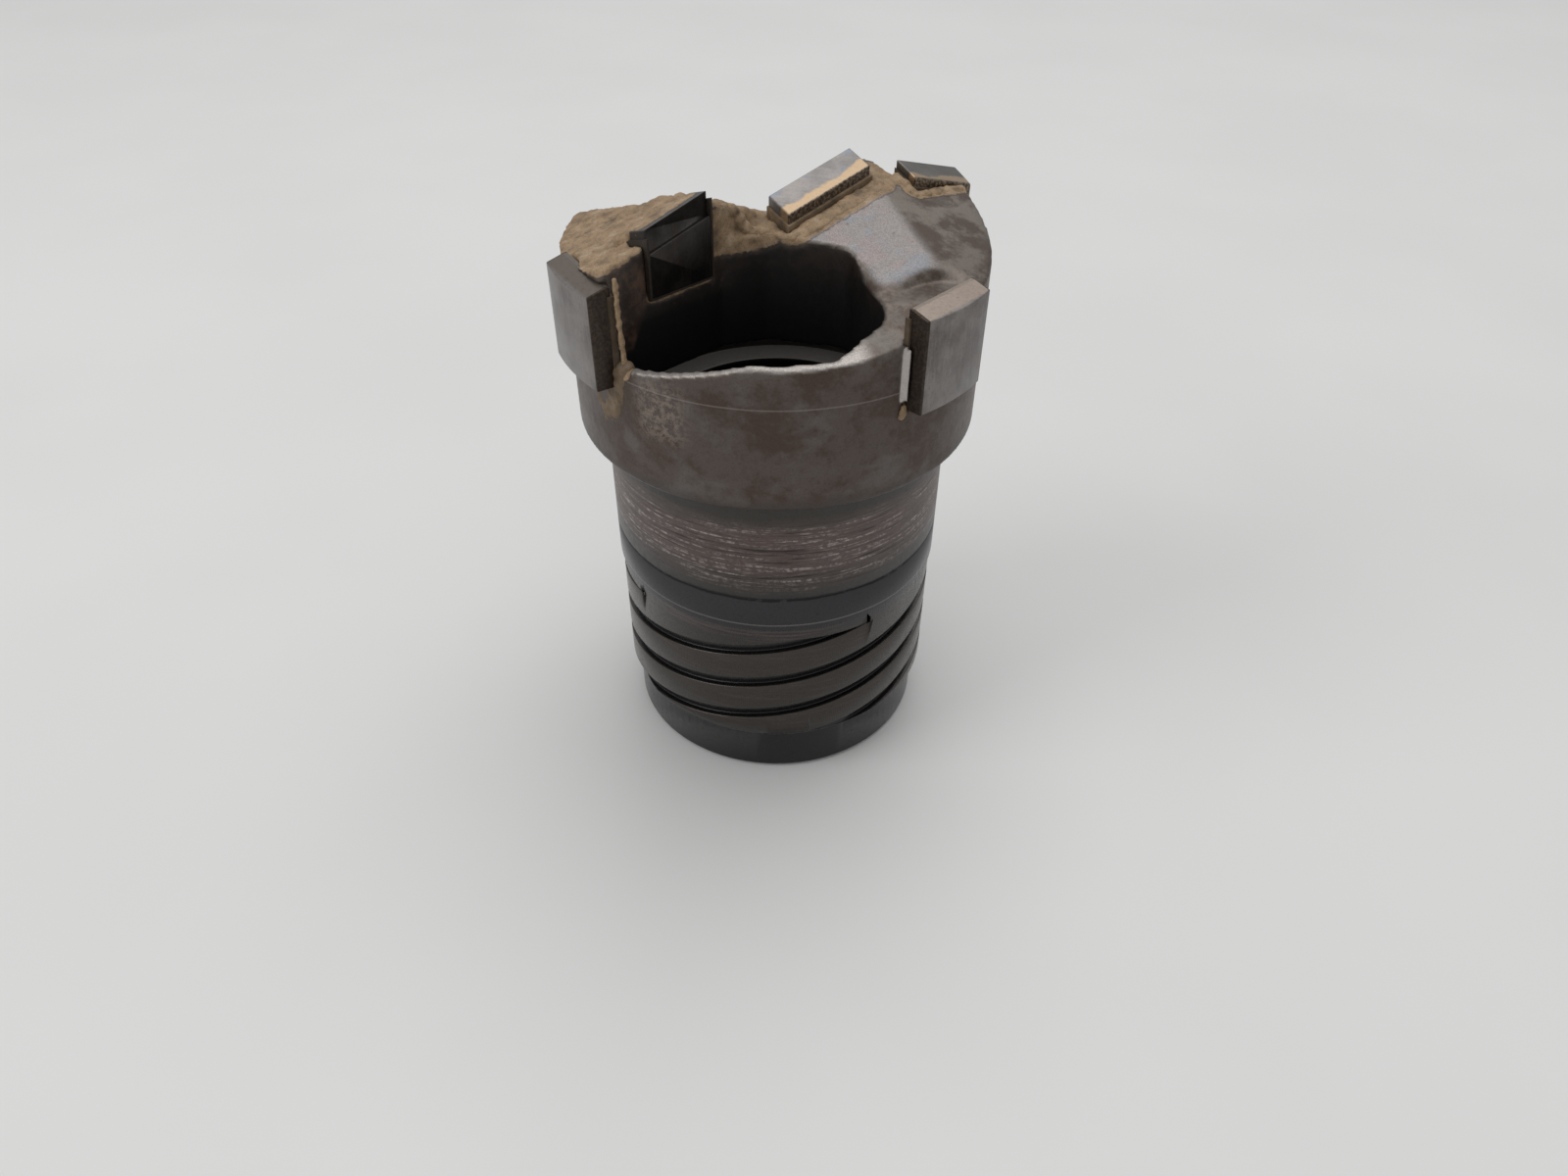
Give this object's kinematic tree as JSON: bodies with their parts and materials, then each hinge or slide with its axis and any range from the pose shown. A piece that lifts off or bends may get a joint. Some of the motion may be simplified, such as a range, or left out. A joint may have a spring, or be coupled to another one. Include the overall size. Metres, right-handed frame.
{
  "type": "deep-hole drill head",
  "caption": "Right-hand cutting deep-hole drill head: a hollow steel body with a threaded shank, brazed carbide cutting tips, guide pads and chip mouths at its front.",
  "frame": {"origin": "centre of the rear face, on the drill's axis; the part stands on this face", "axes": "+Z runs along the drill's axis from the threaded rear end to the cutting tips. The intermediate tip's cutting edge lies at azimuth -137 degrees and the centre and outer tips' edges near +43 degrees, measured from +X towards +Y."},
  "size_m": [0.0603, 0.06, 0.093],
  "materials": {
    "body": "hardened steel, sand-blasted at the front and worn dark on the shank",
    "carbide": "ground cemented carbide, fine grained, grey",
    "braze": "rough silver-brass braze with burnt flux"
  },
  "bodies": {
    "root": {"body": "body", "centre_tip": "carbide", "intermediate_tip": "carbide", "outer_tip": "carbide", "left_guide_pad": "carbide", "right_guide_pad": "carbide", "centre_tip_braze": "braze", "intermediate_tip_braze": "braze", "outer_tip_braze": "braze", "left_pad_braze": "braze", "right_pad_braze": "braze"}
  },
  "joints": []
}
